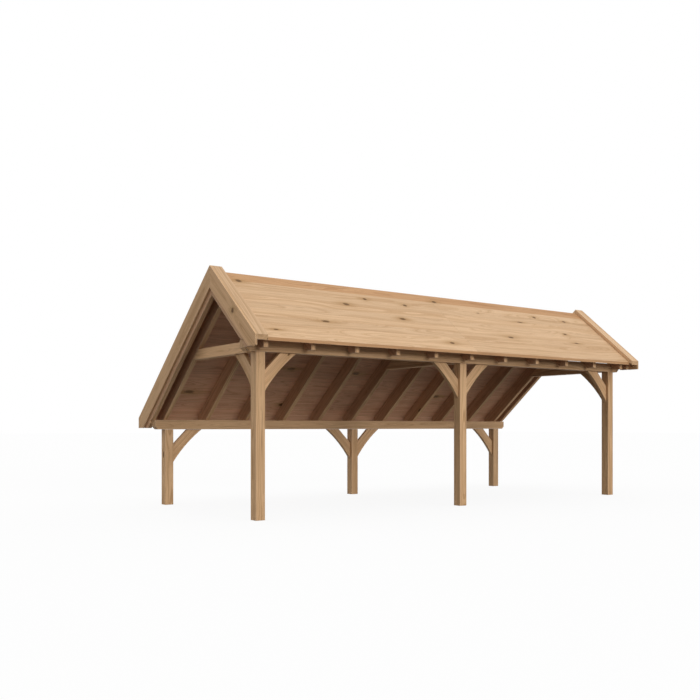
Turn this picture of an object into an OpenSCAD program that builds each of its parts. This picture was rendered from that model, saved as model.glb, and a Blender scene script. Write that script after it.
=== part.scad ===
// Open-sided garden shelter with an uneven gable roof: high front, low back.
// Six posts stand on level ground. Two wall plates lie along the length, three tie
// beams run back from the front posts into the roof, and curved braces stiffen the
// corners. Pairs of rafters carry a boarded deck, which is finished at both gables
// with a verge rafter, a bargeboard and a cap board.
// Origin: middle of the footprint at ground level. +X along the length, -Y is the
// open high front, +Z up. All sizes in millimetres.

/* [Overall frame] */
// Length over the outer faces of the end posts
frame_l = 7500; // [6000:50:9000]
// Depth over the outer faces of the front and back posts
frame_d = 3000; // [2500:50:3600]
// Height of the front posts, from the ground to the underside of the front plate
front_post_h = 2240; // [2000:10:2650]
// Height of the back posts, from the ground to the underside of the back plate
back_post_h = 1200; // [1000:10:1450]

/* [Posts and plates] */
// Side of the square posts
post_w = 140; // [115:5:170]
// Depth across the top of the plates
plate_w = 140; // [115:5:170]
// Height of the plates
plate_h = 150; // [125:5:180]
// How far each plate runs past the end posts
plate_overrun = 165; // [100:5:190]
// Size of the 45 degree corner cut under each plate end
plate_chamfer = 45; // [0:5:80]
// Width of the tie beams
tie_w = 140; // [115:5:170]
// Height of the tie beams
tie_h = 150; // [125:5:180]

/* [Roof] */
// Pitch of both roof slopes, in degrees
pitch = 40; // [35:1:45]
// Number of rafter pairs
rafter_count = 11; // [8:1:14]
// Width of a rafter
rafter_w = 70; // [50:5:90]
// Depth of a rafter, square to the slope
rafter_h = 220; // [190:5:250]
// Length of the level seat cut into each rafter where it rests on a plate
seat_l = 65; // [40:5:90]
// How far the rafter tails run past the posts, measured level
tail_overhang = 200; // [120:10:260]
// Height of the front tails' level cut above the front plate's underside
front_tail_rise = 40; // [20:5:70]
// Height of the back tails' level cut above the back plate's underside
back_tail_rise = 20; // [10:5:60]
// Thickness of the boarded deck, square to the slope
deck_t = 35; // [22:1:45]
// How far the deck runs past the posts at the eaves, measured level
deck_overhang = 320; // [270:10:360]

/* [Gables] */
// Distance from the end posts' outer faces to the bargeboards' outer faces
verge_overhang = 230; // [190:5:280]
// Thickness of a bargeboard
barge_t = 30; // [20:1:40]
// Depth of a bargeboard, square to the slope
barge_h = 238; // [200:2:270]
// How far the bargeboards and cap boards run past the posts at the eaves
barge_overhang = 380; // [370:10:440]
// Width of a cap board on top of the deck
cap_w = 160; // [120:5:190]
// Thickness of a cap board
cap_t = 55; // [30:1:65]

/* [Braces] */
// Thickness of the braces
brace_t = 60; // [45:5:75]
// Distance from the corner to each end of a brace's straight upper edge
brace_in = 260; // [180:10:300]
// Distance from the corner to the end of a brace's curved edge, along the beam
brace_out = 520; // [430:10:620]
// Distance from the corner to the end of a brace's curved edge, down the post
brace_drop = 550; // [430:10:660]
// Rise of the curved edge towards the corner
brace_sag = 34; // [10:1:45]

/* [Fit] */
// Clearance left between the two halves at the ridge
ridge_gap = 4; // [3:1:8]
// Clearance left between any two neighbouring pieces
gap = 1.5; // [1.2:0.1:3]

/* [Hidden] */
SIDES = ["left", "middle", "right"];
POST_X = [-(frame_l - post_w)/2, 0, (frame_l - post_w)/2];
PAIRS = [for (i = [1:rafter_count]) str("rafter_pair_", i)];

t = tan(pitch);
c = cos(pitch);
front_top = front_post_h + plate_h;
back_top = back_post_h + plate_h;
front_top_tie = front_post_h + tie_h;
// Both seats are the same, so the ridge follows from the two plate heights.
ridge_y = -(front_top - back_top)/(2*t);
// Height at the ridge of each layer's top plane, starting with the rafters' undersides
under_ridge = front_top - seat_l*t + (ridge_y + frame_d/2)*t;
rafter_ridge = under_ridge + rafter_h/c;
deck_low = rafter_ridge + gap/c;
deck_ridge = deck_low + deck_t/c;
cap_low = deck_ridge + gap/c;
cap_ridge = cap_low + cap_t/c;
// Lengthways positions of the gable pieces, measured from the middle
barge_out_x = frame_l/2 + verge_overhang;
barge_in_x = barge_out_x - barge_t;
verge_out_x = barge_in_x - gap;
verge_in_x = verge_out_x - rafter_w;
cap_in_x = verge_out_x - cap_w;
rafter_pitch_x = (frame_l - rafter_w)/(rafter_count - 1);
tail_front_z = front_post_h + front_tail_rise;
tail_back_z = back_post_h + back_tail_rise;
OAK = [0.72, 0.55, 0.36];
OAK_LIGHT = [0.80, 0.64, 0.44];
OAK_DARK = [0.60, 0.43, 0.27];

// Height of a roof plane at depth y, given its height at the ridge
function roof_z(y, z_ridge) = z_ridge - t*abs(y - ridge_y);

// Extrude a shape drawn in depth (y) and height (z) along the length, from x0 to x1.
module along_x(x0, x1) {
    translate([x0, 0, 0])
        rotate([90, 0, 90])
            linear_extrude(height = x1 - x0)
                children();
}

// Extrude a shape drawn in length (x) and height (z) through the depth, from y0 to y1.
module along_y(y0, y1) {
    translate([0, y1, 0])
        rotate([90, 0, 0])
            linear_extrude(height = y1 - y0)
                children();
}

// Side view of a slab that follows one slope: s is -1 at the front, +1 at the back.
// low and high are its underside and top at the ridge, run is its plumb end's depth.
module slope_slab(s, low, high, run) {
    y0 = ridge_y + s*ridge_gap/2;
    y1 = s*(frame_d/2 + run);
    polygon([
        [y0, roof_z(y0, low)],
        [y1, roof_z(y1, low)],
        [y1, roof_z(y1, high)],
        [y0, roof_z(y0, high)]]);
}

// Everything below a level line, used to trim rafter and bargeboard ends.
module below(s, z) {
    y0 = ridge_y;
    y1 = s*(frame_d/2 + 1000);
    polygon([[y0, z], [y1, z], [y1, z - 3000], [y0, z - 3000]]);
}

// Side view of one rafter, with its level tail cut and the notch over the plate.
module rafter_side(s) {
    z_cut = s < 0 ? tail_front_z : tail_back_z;
    z_top = s < 0 ? front_top : back_top;
    y_out = s*(frame_d/2 + gap);
    y_in = s*(frame_d/2 - plate_w - gap);
    difference() {
        slope_slab(s, under_ridge, rafter_ridge, tail_overhang);
        intersection() {
            below(s, z_cut);
            polygon([[y_out, 0], [s*(frame_d/2 + 1000), 0],
                     [s*(frame_d/2 + 1000), 5000], [y_out, 5000]]);
        }
        polygon([[y_out, z_top + gap], [y_in, z_top + gap], [y_in, 0], [y_out, 0]]);
    }
}

// Side view of a verge rafter. Its level tail cut runs on across its whole underside, and
// it is notched where the plate runs out under the verge.
module verge_side(s) {
    z_cut = s < 0 ? tail_front_z : tail_back_z;
    difference() {
        slope_slab(s, under_ridge, rafter_ridge, tail_overhang);
        below(s, z_cut);
        // room for the plate where it runs out under the verge
        polygon([
            [s*(frame_d/2 + gap), (s < 0 ? front_top : back_top) + gap],
            [s*(frame_d/2 - plate_w - gap), (s < 0 ? front_top : back_top) + gap],
            [s*(frame_d/2 - plate_w - gap), 0],
            [s*(frame_d/2 + gap), 0]]);
    }
}

module post(x, s, h) {
    color(OAK)
        translate([x - post_w/2, s > 0 ? frame_d/2 - post_w : -frame_d/2, 0])
            cube([post_w, post_w, h - gap]);
}

// A wall plate with both lower end corners cut off.
module plate(s, z) {
    half = frame_l/2 + plate_overrun;
    y0 = s > 0 ? frame_d/2 - plate_w : -frame_d/2;
    color(OAK)
        along_y(y0, y0 + plate_w)
            polygon([
                [-half, z + plate_h], [-half, z + plate_chamfer],
                [-half + plate_chamfer, z], [half - plate_chamfer, z],
                [half, z + plate_chamfer], [half, z + plate_h]]);
}

// A level beam from the front plate back to the rear slope. Its rear end is cut to
// the pitch, so that it bears against the undersides of the rear rafters.
module tie_beam(x) {
    y0 = -frame_d/2 + plate_w + gap;
    y_top = ridge_y + (under_ridge - gap/c - front_top_tie)/t;
    y_low = ridge_y + (under_ridge - gap/c - front_post_h)/t;
    color(OAK)
        along_x(x - tie_w/2, x + tie_w/2)
            polygon([
                [y0, front_post_h], [y_low, front_post_h],
                [y_top, front_top_tie], [y0, front_top_tie]]);
}

module rafter_pair(i) {
    x0 = -frame_l/2 + (i - 1)*rafter_pitch_x;
    color(OAK_DARK)
        along_x(x0, x0 + rafter_w) {
            rafter_side(-1);
            rafter_side(1);
        }
}

module verge_rafters(e) {
    x0 = e < 0 ? -verge_out_x : verge_in_x;
    color(OAK_DARK)
        along_x(x0, x0 + rafter_w) {
            verge_side(-1);
            verge_side(1);
        }
}

// A bargeboard of one slope at one gable, with a plumb end and a level lower cut.
module bargeboard(e, s) {
    x0 = e < 0 ? -barge_out_x : barge_in_x;
    z_cut = s < 0 ? tail_front_z : tail_back_z;
    color(OAK)
        along_x(x0, x0 + barge_t)
            difference() {
                slope_slab(s, cap_ridge - barge_h/c, cap_ridge, barge_overhang);
                below(s, z_cut);
            }
}

module cap_board(e, s) {
    x0 = e < 0 ? -verge_out_x : cap_in_x;
    color(OAK_LIGHT)
        along_x(x0, x0 + cap_w)
            slope_slab(s, cap_low, cap_ridge, barge_overhang);
}

module roof_deck(s) {
    color(OAK_LIGHT)
        along_x(-verge_out_x, verge_out_x)
            slope_slab(s, deck_low, deck_ridge, deck_overhang);
}

// Side view of a brace in the corner at the origin: it runs out along +x and down.
// Its upper edge is straight and its lower edge is an arc.
module brace_side() {
    chord = sqrt(brace_out*brace_out + brace_drop*brace_drop);
    r = (chord*chord/4 + brace_sag*brace_sag)/(2*brace_sag);
    // the arc's centre lies on the far side of the curved edge from the corner
    k = (r - brace_sag)/chord;
    difference() {
        polygon([
            [brace_in, -gap], [brace_out, -gap],
            [gap, -brace_drop], [gap, -brace_in]]);
        translate([brace_out/2 + k*brace_drop, -brace_drop/2 - k*brace_out])
            circle(r = r, $fn = 360);
    }
}

// A brace along the length, in the middle of the post's depth. d is its direction.
module long_brace(x, d, s, z) {
    ym = s*(frame_d/2 - post_w/2);
    color(OAK)
        translate([x + d*post_w/2, ym, z])
            mirror([d < 0 ? 1 : 0, 0, 0])
                along_y(-brace_t/2, brace_t/2)
                    brace_side();
}

// A brace from a front post back to the tie beam above it.
module tie_brace(x) {
    color(OAK)
        translate([x - brace_t/2, -frame_d/2 + post_w, front_post_h])
            rotate([90, 0, 90])
                linear_extrude(height = brace_t)
                    brace_side();
}

for (i = [0:2]) {
    post(POST_X[i], -1, front_post_h);
    post(POST_X[i], 1, back_post_h);
    tie_beam(POST_X[i]);
}
plate(-1, front_post_h);  // front_plate
plate(1, back_post_h);  // back_plate
for (i = [1:rafter_count])
    rafter_pair(i);
verge_rafters(-1);  // verge_rafters_left
verge_rafters(1);  // verge_rafters_right
bargeboard(-1, -1);  // bargeboard_front_left
bargeboard(-1, 1);  // bargeboard_back_left
bargeboard(1, -1);  // bargeboard_front_right
bargeboard(1, 1);  // bargeboard_back_right
cap_board(-1, -1);  // cap_board_front_left
cap_board(-1, 1);  // cap_board_back_left
cap_board(1, -1);  // cap_board_front_right
cap_board(1, 1);  // cap_board_back_right
roof_deck(-1);  // front_roof_deck
roof_deck(1);  // back_roof_deck
long_brace(POST_X[0], 1, -1, front_post_h);  // front_brace_left
long_brace(POST_X[1], -1, -1, front_post_h);  // front_brace_middle_left
long_brace(POST_X[1], 1, -1, front_post_h);  // front_brace_middle_right
long_brace(POST_X[2], -1, -1, front_post_h);  // front_brace_right
tie_brace(POST_X[0]);  // tie_brace_left
tie_brace(POST_X[1]);  // tie_brace_middle
tie_brace(POST_X[2]);  // tie_brace_right
long_brace(POST_X[0], 1, 1, back_post_h);  // back_brace_left
long_brace(POST_X[1], -1, 1, back_post_h);  // back_brace_middle_left
long_brace(POST_X[1], 1, 1, back_post_h);  // back_brace_middle_right
long_brace(POST_X[2], -1, 1, back_post_h);  // back_brace_right
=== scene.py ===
"""Looks of the open-sided oak garden shelter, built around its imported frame. Metres."""
import math
import random

import bmesh
import bpy
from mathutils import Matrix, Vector


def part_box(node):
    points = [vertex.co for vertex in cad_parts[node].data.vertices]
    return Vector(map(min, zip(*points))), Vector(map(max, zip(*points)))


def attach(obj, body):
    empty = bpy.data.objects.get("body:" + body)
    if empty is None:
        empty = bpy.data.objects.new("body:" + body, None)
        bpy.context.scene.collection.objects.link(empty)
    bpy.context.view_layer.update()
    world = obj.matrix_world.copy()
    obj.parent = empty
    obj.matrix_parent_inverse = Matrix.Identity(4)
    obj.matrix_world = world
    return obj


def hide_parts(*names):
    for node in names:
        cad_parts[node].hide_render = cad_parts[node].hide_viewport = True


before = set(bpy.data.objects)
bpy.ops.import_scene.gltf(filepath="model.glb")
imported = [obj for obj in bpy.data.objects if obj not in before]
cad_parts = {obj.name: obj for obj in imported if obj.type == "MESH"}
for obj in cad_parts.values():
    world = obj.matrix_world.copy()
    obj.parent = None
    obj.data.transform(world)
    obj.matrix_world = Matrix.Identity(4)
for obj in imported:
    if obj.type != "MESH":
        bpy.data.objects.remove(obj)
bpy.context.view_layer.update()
RNG = random.Random(4117)

PITCH = math.radians(40)
DECK_T = 0.035          # thickness of the deck boards
COURSE_RIDGE = 0.205    # width of the topmost course of each slope
COURSE = 0.163          # width of the other courses, before they are evened out
BOARD_GAP = 0.0015      # open joint between neighbouring boards
ARRIS = 0.004           # eased arrises of the frame timbers
BOARD_ARRIS = 0.0015    # eased arrises of the boards
THIN_ARRIS = 0.003      # eased arrises of the braces, bargeboards and cap boards
RIDGE_REACH = 0.0015    # how far the boards run on towards the ridge, past the CAD deck
NO_KNOT = 50.0          # a distance from the nearest knot at which nothing of it shows
SHARP = math.radians(20)        # an edge that turns by more than this is eased
GRAIN_TILT = 0.014      # most that the grain runs across a timber, per metre along it
LOOKS_DOWN = -0.5       # a face looks down where its normal rises by less than this
SIDE, END, UNDER, DARK = range(4)       # a piece's materials in order


# ---------------------------------------------------------------- materials
class Tree:
    """A short way to write a material's nodes."""

    def __init__(self, name):
        self.mat = bpy.data.materials.new(name)
        self.mat.use_nodes = True
        self.tree = self.mat.node_tree
        self.tree.nodes.clear()
        self.out = self.tree.nodes.new("ShaderNodeOutputMaterial")
        self.bsdf = self.tree.nodes.new("ShaderNodeBsdfPrincipled")
        self.link(self.bsdf.outputs[0], self.out.inputs["Surface"])

    def link(self, source, socket):
        self.tree.links.new(source, socket)

    def put(self, socket, value):
        if isinstance(value, bpy.types.NodeSocket):
            self.link(value, socket)
        elif value is not None:
            socket.default_value = value

    def math(self, op, a, b=None):
        n = self.tree.nodes.new("ShaderNodeMath")
        n.operation = op
        self.put(n.inputs[0], a)
        self.put(n.inputs[1], b)
        return n.outputs[0]

    def vec(self, op, a, b=None):
        n = self.tree.nodes.new("ShaderNodeVectorMath")
        n.operation = op
        self.put(n.inputs[0], a)
        self.put(n.inputs[1], b)
        return n.outputs["Value"] if op in ("LENGTH", "DISTANCE", "DOT_PRODUCT") else n.outputs[0]

    def attribute(self, name, output="Vector"):
        n = self.tree.nodes.new("ShaderNodeAttribute")
        n.attribute_name = name
        return n.outputs[output]

    def noise(self, vector, detail=2.0, rough=0.5, output="Fac"):
        n = self.tree.nodes.new("ShaderNodeTexNoise")
        n.noise_dimensions = "3D"
        self.put(n.inputs["Vector"], vector)
        n.inputs["Scale"].default_value = 1.0
        n.inputs["Detail"].default_value = detail
        n.inputs["Roughness"].default_value = rough
        return n.outputs[output]

    def noise1(self, w, detail=2.0, rough=0.5):
        n = self.tree.nodes.new("ShaderNodeTexNoise")
        n.noise_dimensions = "1D"
        self.put(n.inputs["W"], w)
        n.inputs["Scale"].default_value = 1.0
        n.inputs["Detail"].default_value = detail
        n.inputs["Roughness"].default_value = rough
        return n.outputs["Fac"]

    def voronoi(self, vector):
        n = self.tree.nodes.new("ShaderNodeTexVoronoi")
        self.put(n.inputs["Vector"], vector)
        n.inputs["Scale"].default_value = 1.0
        return n.outputs["Distance"], n.outputs["Color"]

    def ramp(self, value, low, high, to_low=0.0, to_high=1.0, smooth=True):
        n = self.tree.nodes.new("ShaderNodeMapRange")
        n.interpolation_type = "SMOOTHSTEP" if smooth else "LINEAR"
        for i, v in enumerate((value, low, high, to_low, to_high)):
            self.put(n.inputs[i], v)
        return n.outputs[0]

    def mix(self, factor, a, b, mode="MIX"):
        n = self.tree.nodes.new("ShaderNodeMix")
        n.data_type, n.blend_type = "RGBA", mode  # its colour sockets are 6, 7 and output 2
        self.put(n.inputs[0], factor)
        self.put(n.inputs[6], a)
        self.put(n.inputs[7], b)
        return n.outputs[2]

    def bump(self, height, strength, distance, normal=None):
        n = self.tree.nodes.new("ShaderNodeBump")
        self.put(n.inputs["Height"], height)
        n.inputs["Strength"].default_value = strength
        n.inputs["Distance"].default_value = distance
        self.put(n.inputs["Normal"], normal)
        return n.outputs[0]


def rgb(r, g, b):
    return (r, g, b, 1.0)


PALE, MID, DEEP = rgb(0.705, 0.470, 0.275), rgb(0.550, 0.340, 0.180), rgb(0.320, 0.170, 0.082)
KNOT, KNOT_RIM = rgb(0.140, 0.066, 0.016), rgb(0.400, 0.220, 0.080)
RAY, WORN = rgb(0.76, 0.58, 0.39), rgb(0.73, 0.54, 0.35)


def knots(t, grain, knots_at, knot_share):
    """Distance from the nearest knot, 1 at its rim, and from the dark tails of the placed ones.
    There is a sparse scatter, and knots_at adds a few, given in the place attribute."""
    spread = t.vec("MULTIPLY", grain, (1.55, 3.3, 3.3))
    cell, cell_colour = t.voronoi(spread)
    sep = t.tree.nodes.new("ShaderNodeSeparateColor")
    t.put(sep.inputs[0], cell_colour)
    size = t.ramp(sep.outputs[1], 0.0, 1.0, 0.055, 0.115, smooth=False)
    present = t.math("LESS_THAN", sep.outputs[0], knot_share)
    near = t.math("DIVIDE", cell, size)
    near = t.math("ADD", near, t.math("MULTIPLY", t.math("SUBTRACT", 1.0, present), NO_KNOT))
    tail = NO_KNOT
    if knots_at:
        place = t.attribute("place")
        for x, s, half_length, half_height in knots_at:
            off = t.vec("SUBTRACT", place, (x, s, 0.0))
            off = t.vec("MULTIPLY", off, (1 / half_length, 1 / half_height, 0.0))
            near = t.math("MINIMUM", near, t.vec("LENGTH", off))
            off = t.vec("MULTIPLY", off, (0.36, 0.85, 0.0))
            tail = t.math("MINIMUM", tail, t.vec("LENGTH", off))
    ragged = t.noise(t.vec("MULTIPLY", grain, (35.0, 70.0, 70.0)), 2.0, 0.6)
    near = t.math("MULTIPLY", near, t.ramp(ragged, 0.2, 0.8, 0.78, 1.25, smooth=False))
    return near, tail


def growth_rings(t, grain, swirl, sway):
    """Broad bands, rings and fine rings, which wander along the timber and flow round knots."""
    wander = t.noise(t.vec("MULTIPLY", grain, (0.55, 2.2, 2.2)), 2.0, 0.5, output="Color")
    wander = t.vec("MULTIPLY", t.vec("SUBTRACT", wander, (0.5, 0.5, 0.5)), (0.0, sway, sway))
    flat = t.vec("MULTIPLY", t.vec("ADD", grain, wander), (0.0, 1.0, 1.0))
    radius = t.vec("LENGTH", flat)
    radius = t.math("ADD", radius, t.math("MULTIPLY", swirl, 0.045))
    bands = t.noise1(t.math("MULTIPLY", radius, 24.0), 1.5, 0.5)
    rings = t.noise1(t.math("MULTIPLY", radius, 120.0), 3.0, 0.62)
    fine = t.noise1(t.math("MULTIPLY", radius, 620.0), 1.0, 0.5)
    return bands, rings, fine


def oak(name, pale=PALE, mid=MID, end=1.0, knots_at=(), knot_share=0.45, streak=1.0, sway=0.13,
        ring=0.5):
    """Sawn oak, worked out in each timber's own grain coordinates in metres: x along it, y
    across it and z through it, with its heart at y = z = 0. end darkens or lightens end grain,
    streak and ring set how much dark streaks and narrow rings show, sway how far rings wander."""
    t = Tree(name)
    grain = t.attribute("grain")
    tone = t.attribute("tone", "Fac")
    edge = t.attribute("edge", "Fac")
    near, tail = knots(t, grain, knots_at, knot_share)
    swirl = t.math("EXPONENT", t.math("MULTIPLY", near, -0.75))
    bands, rings, fine = growth_rings(t, grain, swirl, sway)

    # fibres, streaks, large patches and rays
    fibre = t.noise(t.vec("MULTIPLY", grain, (5.0, 260.0, 260.0)), 3.0, 0.65)
    streaks = t.noise(t.vec("MULTIPLY", grain, (0.9, 26.0, 26.0)), 3.0, 0.6)
    patch = t.noise(t.vec("MULTIPLY", grain, (0.9, 3.4, 3.4)), 2.0, 0.5)
    flecks = t.noise(t.vec("MULTIPLY", grain, (42.0, 380.0, 60.0)), 1.0, 0.5)

    depth = t.math("ADD", t.math("MULTIPLY", bands, 1.0 - ring), t.math("MULTIPLY", rings, ring))
    colour = t.mix(t.ramp(depth, 0.40, 0.66), pale, mid)
    colour = t.mix(t.math("MULTIPLY", t.ramp(streaks, 0.52, 0.80), 0.42 * streak), colour, DEEP)
    colour = t.mix(t.math("MULTIPLY", t.ramp(patch, 0.48, 0.72), 0.20), colour, mid)
    shade = t.ramp(fibre, 0.25, 0.75, 0.88, 1.09, smooth=False)
    shade = t.math("MULTIPLY", shade, t.ramp(fine, 0.3, 0.7, 0.955, 1.04, smooth=False))
    shade = t.math("MULTIPLY", shade, t.ramp(tone, -1.0, 1.0, 0.90, 1.07, smooth=False))
    if end != 1.0:
        shade = t.math("MULTIPLY", shade, end)
    shade_colour = t.tree.nodes.new("ShaderNodeCombineColor")
    for socket in shade_colour.inputs:
        t.link(shade, socket)
    colour = t.mix(1.0, colour, shade_colour.outputs[0], "MULTIPLY")
    colour = t.mix(t.math("MULTIPLY", t.ramp(flecks, 0.66, 0.80), 0.16), colour, RAY)
    colour = t.mix(t.math("MULTIPLY", swirl, 0.60), colour, KNOT_RIM)
    if knots_at:
        drawn = t.ramp(streaks, 0.30, 0.62, 0.15, 0.75)
        colour = t.mix(t.math("MULTIPLY", t.ramp(tail, 1.6, 0.2), drawn), colour, KNOT_RIM)
    colour = t.mix(t.ramp(near, 1.05, 0.45), colour, KNOT)
    wear = t.math("MULTIPLY", edge, t.ramp(streaks, 0.35, 0.6, 0.15, 0.55))
    colour = t.mix(wear, colour, WORN)
    t.link(colour, t.bsdf.inputs["Base Color"])

    rough = t.ramp(depth, 0.35, 0.7, 0.62, 0.78)
    rough = t.math("SUBTRACT", rough, t.math("MULTIPLY", t.ramp(near, 1.2, 0.5), 0.05))
    t.link(rough, t.bsdf.inputs["Roughness"])
    t.bsdf.inputs["Specular IOR Level"].default_value = 0.28
    normal = t.bump(fibre, 0.30, 0.0015)
    normal = t.bump(rings, 0.22, 0.0030, normal)
    normal = t.bump(swirl, 0.25, 0.006, normal)
    t.link(normal, t.bsdf.inputs["Normal"])
    return t.mat


# Knots that show on a slope: distance along from the middle, distance down from the ridge
# and half sizes. The bargeboards' are given by depth and height. The places of the front and
# bargeboard knots and of the first five back ones are the rounded output of a scratch program
# that projected knots picked in the photo, with the last front one moved 5 cm down the slope.
FRONT_KNOTS = [
    (-3.61, 0.20, 0.062, 0.044), (-1.94, 0.54, 0.070, 0.040), (-1.47, 0.33, 0.048, 0.034),
    (-2.59, 1.07, 0.085, 0.034), (-3.55, 1.38, 0.050, 0.020), (-0.71, 0.39, 0.052, 0.036),
    (-1.02, 0.81, 0.075, 0.036), (0.05, 0.18, 0.060, 0.040), (2.34, 0.33, 0.050, 0.034),
    (1.79, 0.55, 0.085, 0.022), (3.11, 0.37, 0.056, 0.034), (2.74, 0.81, 0.056, 0.030),
    (1.14, 1.07, 0.085, 0.030), (-0.40, 1.38, 0.062, 0.032), (2.80, 1.08, 0.070, 0.022)]
BACK_KNOTS = [
    (-0.40, 1.87, 0.105, 0.045), (-1.76, 1.83, 0.100, 0.040), (-3.39, 2.46, 0.110, 0.050),
    (-1.52, 2.73, 0.080, 0.045), (1.86, 2.41, 0.100, 0.045), (2.90, 1.35, 0.080, 0.040),
    (0.85, 0.80, 0.080, 0.040), (-2.60, 0.55, 0.080, 0.040)]
BARGE_KNOTS = [(-1.28, 2.78, 0.040, 0.044)]


def tinted(colour, r, g, b):
    return rgb(colour[0] * r, colour[1] * g, colour[2] * b)


TIMBER_PALE, TIMBER_MID = tinted(PALE, 1.0, 0.945, 0.86), tinted(MID, 0.92, 0.86, 0.78)
TIMBER = oak("oak_timber", TIMBER_PALE, TIMBER_MID, streak=2.0, ring=0.6)
TIMBER_END = oak("oak_timber_end", TIMBER_PALE, TIMBER_MID, end=0.84)
# The rafters' sides are darker and redder than the other timbers: painted shade for their place under
# the roof.
SHADED_RAFTER = oak("oak_rafter_painted_shade", tinted(PALE, 0.84, 0.74, 0.72), tinted(MID, 0.80, 0.68, 0.66), streak=1.3)
# The rafters' end grain is lighter than other end grain: painted light on the tails' ends, which face
# the key light.
LIT_RAFTER_END = oak("oak_rafter_end_painted_light", TIMBER_PALE, TIMBER_MID, end=1.05)
BARGE = oak("oak_barge", TIMBER_PALE, TIMBER_MID, streak=1.0, knots_at=BARGE_KNOTS, knot_share=0.25)
CAP = oak("oak_cap", streak=0.8, knot_share=0.15, ring=0.4)
BOARD_FRONT = oak("oak_board_front", knots_at=FRONT_KNOTS, knot_share=0.04, streak=0.8, sway=0.24,
                  ring=0.36)
BOARD_BACK = oak("oak_board_back", knots_at=BACK_KNOTS, knot_share=0.12, streak=0.8, sway=0.24,
                 ring=0.36)
# The boards' undersides are redder and darker, with more dark streaks: painted shade for the warm shade
# under the roof.
BOARD_UNDER_PAINTED_SHADE = oak("oak_board_under_painted_shade", tinted(PALE, 1.07, 0.92, 0.95), tinted(MID, 1.05, 0.90, 0.95),
                  knots_at=BACK_KNOTS, knot_share=0.12, streak=1.2, sway=0.24)
# The topmost course's darker oak. It is also put on the eave's plumb cut as painted shade.
BOARD_RIDGE_AND_EAVE_SHADE = oak("oak_board_ridge_and_eave_shade", tinted(PALE, 0.82, 0.70, 0.58), tinted(MID, 0.80, 0.66, 0.54),
                  knots_at=FRONT_KNOTS, knot_share=0.06, streak=1.6, sway=0.2)
BOARD_END = oak("oak_board_end", end=0.84, knot_share=0.05)


# ---------------------------------------------------------------- timbers
def islands(bm):
    """The separate solids of a mesh, as lists of vertices in a fixed order."""
    seen, found = set(), []
    for start in bm.verts:
        if start.index in seen:
            continue
        seen.add(start.index)
        stack, group = [start], []
        while stack:
            v = stack.pop()
            group.append(v)
            for e in v.link_edges:
                w = e.other_vert(v)
                if w.index not in seen:
                    seen.add(w.index)
                    stack.append(w)
        found.append(group)
    return found


def grain_axes(group):
    """Along, across and through a timber: its longest edge and its largest face's normal."""
    edges = {e for v in group for e in v.link_edges}
    faces = {f for v in group for f in v.link_faces}
    longest = max(edges, key=lambda e: (round(e.calc_length(), 5), -e.index))
    along = (longest.verts[1].co - longest.verts[0].co).normalized()
    if along.dot(Vector((1, 0.3, 0.2))) < 0:
        along = -along
    face = max(faces, key=lambda f: (round(f.calc_area() * (1 - abs(f.normal.dot(along))), 5), -f.index))
    through = (face.normal - along * face.normal.dot(along)).normalized()
    return along, through.cross(along).normalized(), through


def dress(bm, name, materials, arris, heart, place=None, end_dot=0.75, tones=1.0,
          side_slot=lambda middle, normal: SIDE):
    """Eases the arrises, stores grain coordinates and makes the piece.

    materials starts with the sides' and the ends'. side_slot chooses a side face's one from
    the timber's middle and the face's normal, and end_dot tells an end from a side. heart is
    how far across and through the timber its heart may lie from the middle. place gives the
    place attribute of a point, and tones how much the timbers differ in shade."""
    bmesh.ops.recalc_face_normals(bm, faces=bm.faces)
    worn = bm.faces.layers.float.new("edge")
    grain = bm.verts.layers.float_vector.new("grain")
    tone = bm.verts.layers.float.new("tone")
    where = bm.verts.layers.float_vector.new("place") if place else None
    sharp = [e for e in bm.edges if len(e.link_faces) == 2 and e.is_convex
             and e.calc_face_angle() > SHARP]
    done = bmesh.ops.bevel(bm, geom=sharp, offset=arris, offset_type="OFFSET", segments=2,
                           profile=0.6, affect="EDGES", clamp_overlap=True)
    for f in done["faces"]:
        f[worn] = 1.0
    bm.verts.index_update()
    bm.edges.index_update()
    bm.faces.index_update()
    for group in islands(bm):
        along, across, through = grain_axes(group)
        middle = sum((v.co for v in group), Vector()) / len(group)
        shift = Vector((RNG.uniform(0, 60), RNG.uniform(-1, 1) * heart[0],
                        RNG.choice((-1, 1)) * RNG.uniform(0.35, 1) * heart[1]))
        own_tone = RNG.uniform(-1, 1) * tones
        tilt = RNG.uniform(-GRAIN_TILT, GRAIN_TILT)
        for v in group:
            off = v.co - middle
            u = off.dot(along)
            v[grain] = Vector((u, off.dot(across) + u * tilt, off.dot(through))) + shift
            v[tone] = own_tone
            if where:
                v[where] = place(v.co)
        for f in {f for v in group for f in v.link_faces}:
            is_end = abs(f.normal.dot(along)) > end_dot
            f.material_index = END if is_end else side_slot(middle, f.normal)
    mesh = bpy.data.meshes.new(name)
    bm.to_mesh(mesh)
    bm.free()
    for m in materials:
        mesh.materials.append(m)
    piece = bpy.data.objects.new(name, mesh)
    bpy.context.scene.collection.objects.link(piece)
    return piece


def stand_for(piece, node):
    """The piece rides on the one body and is shown in place of its CAD node."""
    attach(piece, "root")
    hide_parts(node)


def from_node(node):
    """A copy of a CAD node's shape with its flat faces made whole."""
    bm = bmesh.new()
    bm.from_mesh(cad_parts[node].data)
    bmesh.ops.remove_doubles(bm, verts=bm.verts, dist=1e-5)
    bmesh.ops.dissolve_limit(bm, angle_limit=math.radians(0.2), verts=bm.verts, edges=bm.edges)
    return bm


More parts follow.
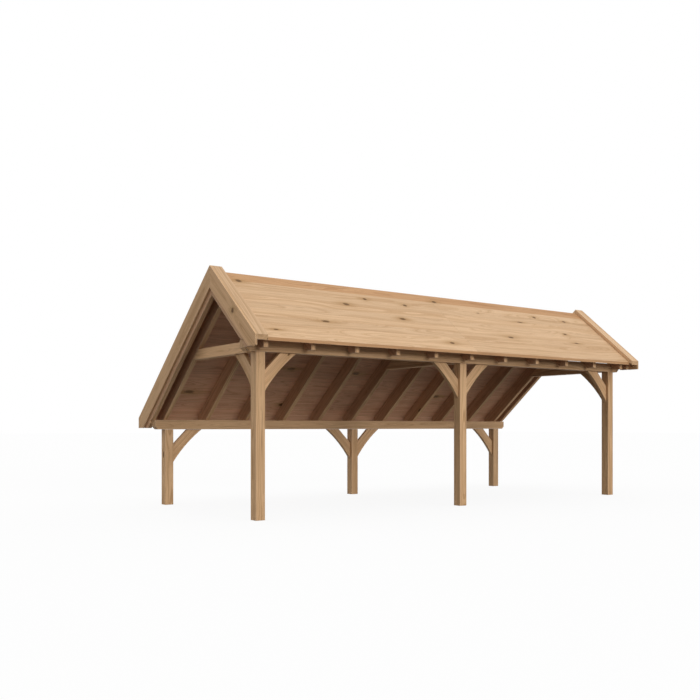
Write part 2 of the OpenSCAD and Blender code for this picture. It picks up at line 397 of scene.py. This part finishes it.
def add_timber(node, heart, arris=ARRIS, end_dot=0.75, sides=TIMBER, ends=TIMBER_END, place=None):
    """One CAD node's timbers in oak. Faces that look down are plain timber, so on the rafters the
    painted shade of their darker oak stays on the sides.
    """
    def side_slot(middle, normal):
        return UNDER if normal.z < LOOKS_DOWN else SIDE

    piece = dress(from_node(node), node + "_oak", (sides, ends, TIMBER), arris, heart, place, end_dot,
                  side_slot=side_slot)
    stand_for(piece, node)


def prism(bm, corners, x0, x1):
    """A solid from its side view, a list of (y, z), between two places along the length."""
    left = [bm.verts.new((x0, y, z)) for y, z in corners]
    right = [bm.verts.new((x1, y, z)) for y, z in corners]
    bm.faces.new(left)
    bm.faces.new(list(reversed(right)))
    for i in range(len(corners)):
        j = (i + 1) % len(corners)
        bm.faces.new((left[i], right[i], right[j], left[j]))


def add_deck(node):
    """One slope's boards: lengthwise courses, each in two lengths that meet in the middle.
    The topmost course is in the darker oak of BOARD_RIDGE_AND_EAVE_SHADE, and the plumb cut at the eave
    is given the same oak as painted shade."""
    lo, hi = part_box(node)
    side = -1 if "front" in node else 1
    y_eave = lo.y if side < 0 else hi.y
    y_ridge = (hi.y + RIDGE_REACH) if side < 0 else (lo.y - RIDGE_REACH)
    z_ridge = hi.z + RIDGE_REACH * math.tan(PITCH)
    down = Vector((0, side * math.cos(PITCH), -math.sin(PITCH)))
    up = Vector((0, side * math.sin(PITCH), math.cos(PITCH)))
    top = Vector((0, y_ridge, z_ridge))
    length = abs(y_eave - y_ridge) / math.cos(PITCH)
    count = round((length - COURSE_RIDGE) / COURSE)
    width = (length - COURSE_RIDGE) / count
    cuts = [0.0] + [COURSE_RIDGE + i * width for i in range(count + 1)]
    plumb = Vector((0, 0, -DECK_T / math.cos(PITCH)))
    bm = bmesh.new()
    for i in range(len(cuts) - 1):
        s0 = cuts[i] + (BOARD_GAP / 2 if i else 0)
        s1 = cuts[i + 1] - (BOARD_GAP / 2 if i < len(cuts) - 2 else 0)
        a, b = top + down * s0, top + down * s1
        a_low = a + (plumb if i == 0 else -up * DECK_T)
        b_low = b + (plumb if i == len(cuts) - 2 else -up * DECK_T)
        corners = [(p.y, p.z) for p in (a, b, b_low, a_low)]
        prism(bm, corners, lo.x, -BOARD_GAP / 2)
        prism(bm, corners, BOARD_GAP / 2, hi.x)

    def place(co):
        return Vector((co.x, (co - top).dot(down), 0.0))

    def side_slot(middle, normal):
        # Faces that look down take the underside oak, which carries painted shade.
        if normal.dot(up) < LOOKS_DOWN:
            return UNDER
        # The eave's plumb cut gets the darker oak as painted shade.
        at_eave = normal.y * side > 0.9
        at_ridge = (middle - top).dot(down) < COURSE_RIDGE
        return DARK if at_eave or at_ridge else SIDE

    materials = (BOARD_FRONT if side < 0 else BOARD_BACK, BOARD_END, BOARD_UNDER_PAINTED_SHADE, BOARD_RIDGE_AND_EAVE_SHADE)
    piece = dress(bm, node + "_boards", materials, BOARD_ARRIS, (0.09, 0.16), place, tones=0.5,
                  side_slot=side_slot)
    stand_for(piece, node)


for node in sorted(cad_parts):
    if "roof_deck" in node:
        add_deck(node)
    elif node.startswith("rafter_pair") or node.startswith("verge_rafters"):
        add_timber(node, (0.05, 0.06), sides=SHADED_RAFTER, ends=LIT_RAFTER_END)
    elif node.startswith("bargeboard"):
        add_timber(node, (0.08, 0.12), THIN_ARRIS, sides=BARGE,
                   place=lambda co: Vector((co.y, co.z, 0.0)))
    elif node.startswith("cap_board"):
        add_timber(node, (0.06, 0.12), THIN_ARRIS, sides=CAP)
    elif "brace" in node:
        add_timber(node, (0.05, 0.08), THIN_ARRIS, end_dot=0.62)
    else:
        add_timber(node, (0.035, 0.045))


# ---------------------------------------------------------------- stage, light and camera
FLOOR_SIZE = 150        # reaches far past the view
FLOOR_DROP = 0.0005     # how far the floor lies under the posts' feet
FLOOR_PALE = 0.14       # how much light the floor gives back to the timbers
FLOOR_SEEN = 0.95       # the lit floor's colour as the camera sees it
FLOOR_WHITE = 0.90      # share of plain white mixed into that, the rest shows the shadow
WORLD_FILL = 0.85
KEY_STRENGTH = 1.05
KEY_SPREAD = math.radians(22)
KEY_FROM = Vector((0.10, -0.96, 0.22))  # the direction that the light comes from
CAMERA_AT = (-9.459, -11.357, 1.243)
CAMERA_TURN = math.radians(-35.753)
CAMERA_SHIFT = (0.0123, 0.1095)
CAMERA_LENS = 44.23


def grey(value):
    """A grey as red, green, blue and alpha."""
    return (value, value, value, 1)


def seen_or_lighting(tree, lighting, seen):
    """The seen shader where a camera, mirror or glass ray meets it, and lighting elsewhere."""
    path = tree.nodes.new("ShaderNodeLightPath")
    total = path.outputs["Is Camera Ray"]
    for ray in ("Is Glossy Ray", "Is Transmission Ray"):
        more = tree.nodes.new("ShaderNodeMath")
        more.operation = "MAXIMUM"
        tree.links.new(total, more.inputs[0])
        tree.links.new(path.outputs[ray], more.inputs[1])
        total = more.outputs[0]
    mix = tree.nodes.new("ShaderNodeMixShader")
    tree.links.new(total, mix.inputs[0])
    tree.links.new(lighting, mix.inputs[1])
    tree.links.new(seen, mix.inputs[2])
    return mix.outputs[0]


def floor_material():
    """Gives little light back, but is seen as near white with the object's shadow on it."""
    mat = bpy.data.materials.new("pale_floor")
    mat.use_nodes = True
    tree = mat.node_tree
    tree.nodes.clear()
    out = tree.nodes.new("ShaderNodeOutputMaterial")
    lighting = tree.nodes.new("ShaderNodeBsdfDiffuse")
    lighting.inputs["Color"].default_value = grey(FLOOR_PALE)
    white = tree.nodes.new("ShaderNodeEmission")
    white.inputs["Strength"].default_value = 1.0
    shaded = tree.nodes.new("ShaderNodeBsdfDiffuse")
    shaded.inputs["Color"].default_value = grey(FLOOR_SEEN)
    seen = tree.nodes.new("ShaderNodeMixShader")
    seen.inputs[0].default_value = FLOOR_WHITE
    tree.links.new(shaded.outputs[0], seen.inputs[1])
    tree.links.new(white.outputs[0], seen.inputs[2])
    shader = seen_or_lighting(tree, lighting.outputs[0], seen.outputs[0])
    tree.links.new(shader, out.inputs["Surface"])
    return mat


def add_floor():
    """A plain, level floor."""
    mesh = bpy.data.meshes.new("floor")
    bm = bmesh.new()
    bmesh.ops.create_grid(bm, x_segments=4, y_segments=4, size=FLOOR_SIZE)
    bmesh.ops.translate(bm, verts=bm.verts, vec=(0, 0, -FLOOR_DROP))
    bm.to_mesh(mesh)
    bm.free()
    mesh.materials.append(floor_material())
    floor = bpy.data.objects.new("floor", mesh)
    bpy.context.scene.collection.objects.link(floor)


def add_world():
    """Even fill from all round, and a white background."""
    world = bpy.data.worlds.new("studio")
    bpy.context.scene.world = world
    world.use_nodes = True
    tree = world.node_tree
    tree.nodes.clear()
    out = tree.nodes.new("ShaderNodeOutputWorld")
    fill = tree.nodes.new("ShaderNodeBackground")
    white = tree.nodes.new("ShaderNodeBackground")
    for background, strength in ((fill, WORLD_FILL), (white, 1.0)):
        background.inputs["Color"].default_value = grey(1)
        background.inputs["Strength"].default_value = strength
    shader = seen_or_lighting(tree, fill.outputs[0], white.outputs[0])
    tree.links.new(shader, out.inputs["Surface"])


def add_key():
    """A low, soft key light from the front."""
    sun = bpy.data.lights.new("key", "SUN")
    sun.energy = KEY_STRENGTH
    sun.angle = KEY_SPREAD
    key = bpy.data.objects.new("key", sun)
    key.rotation_euler = (-KEY_FROM).to_track_quat("-Z", "Y").to_euler()
    bpy.context.scene.collection.objects.link(key)


def add_camera():
    """A level camera to the front and left, a little higher than the back posts."""
    cam = bpy.data.cameras.new("camera")
    cam.sensor_width = 36
    cam.lens = CAMERA_LENS
    cam.shift_x, cam.shift_y = CAMERA_SHIFT
    cam.clip_end = 500
    camera = bpy.data.objects.new("camera", cam)
    camera.location = CAMERA_AT
    camera.rotation_euler = (math.radians(90), 0, CAMERA_TURN)
    bpy.context.scene.collection.objects.link(camera)
    bpy.context.scene.camera = camera


add_floor()
add_world()
add_key()
add_camera()
bpy.context.scene.view_settings.view_transform = "Standard"
